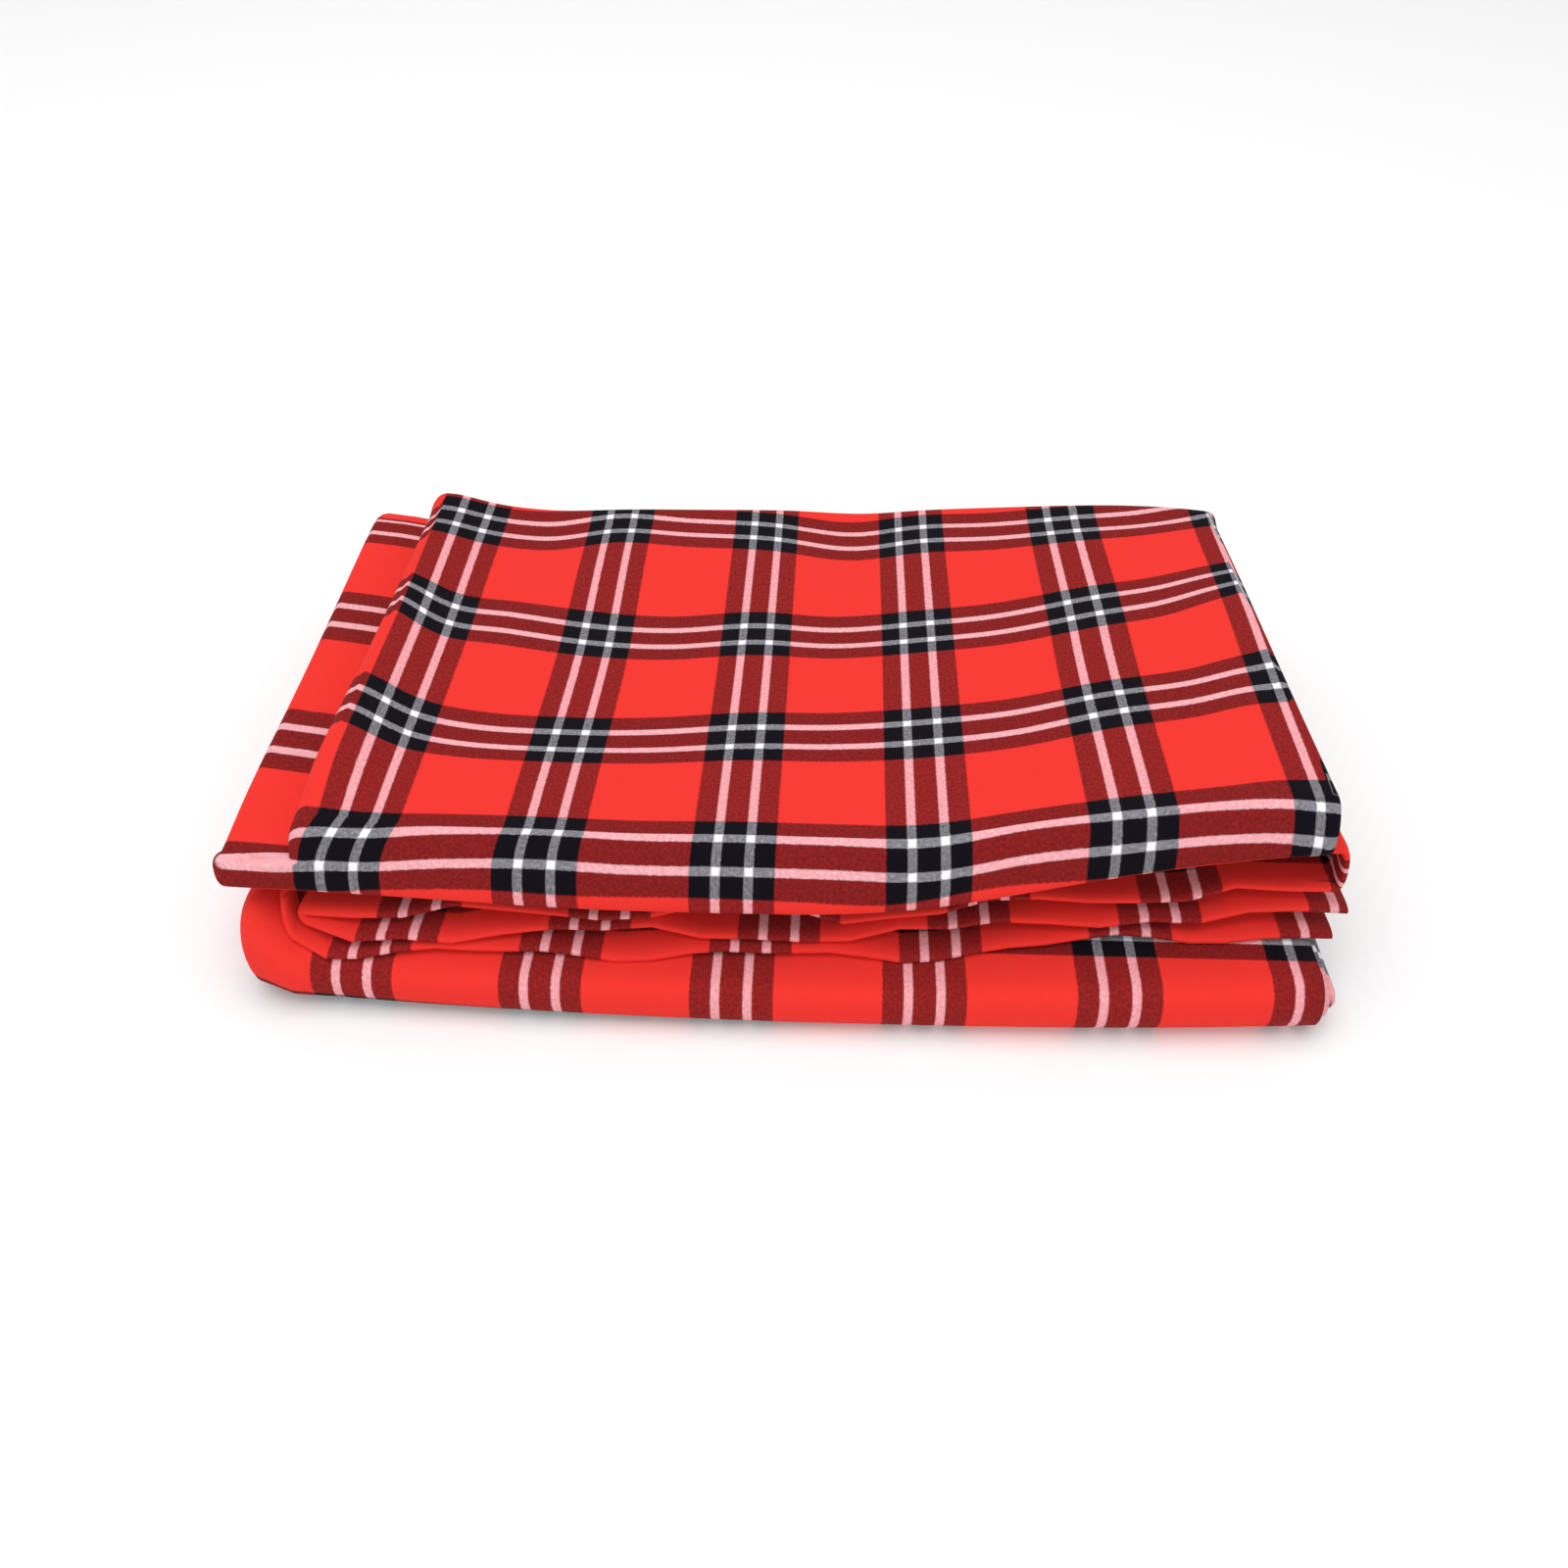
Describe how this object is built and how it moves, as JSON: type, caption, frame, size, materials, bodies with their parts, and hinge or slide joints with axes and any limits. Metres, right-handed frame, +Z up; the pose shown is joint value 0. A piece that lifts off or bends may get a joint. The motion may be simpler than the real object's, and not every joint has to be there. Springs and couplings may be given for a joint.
{
  "type": "folded blanket",
  "caption": "Plaid wool-like wrap blanket folded into a soft rectangular stack with rounded front folds, a tucked hem between them and an overhanging lower layer at the left",
  "frame": {"origin": "middle of the base of the folded stack, on the surface it rests on", "axes": "+X to the right along the long side, +Y to the back fold, +Z up; the front folds face -Y"},
  "size_m": [0.4048, 0.2652, 0.0773],
  "materials": {
    "cloth": "soft woven cloth, red with black and white checks"
  },
  "bodies": {
    "root": {"blanket": "cloth"}
  },
  "joints": []
}
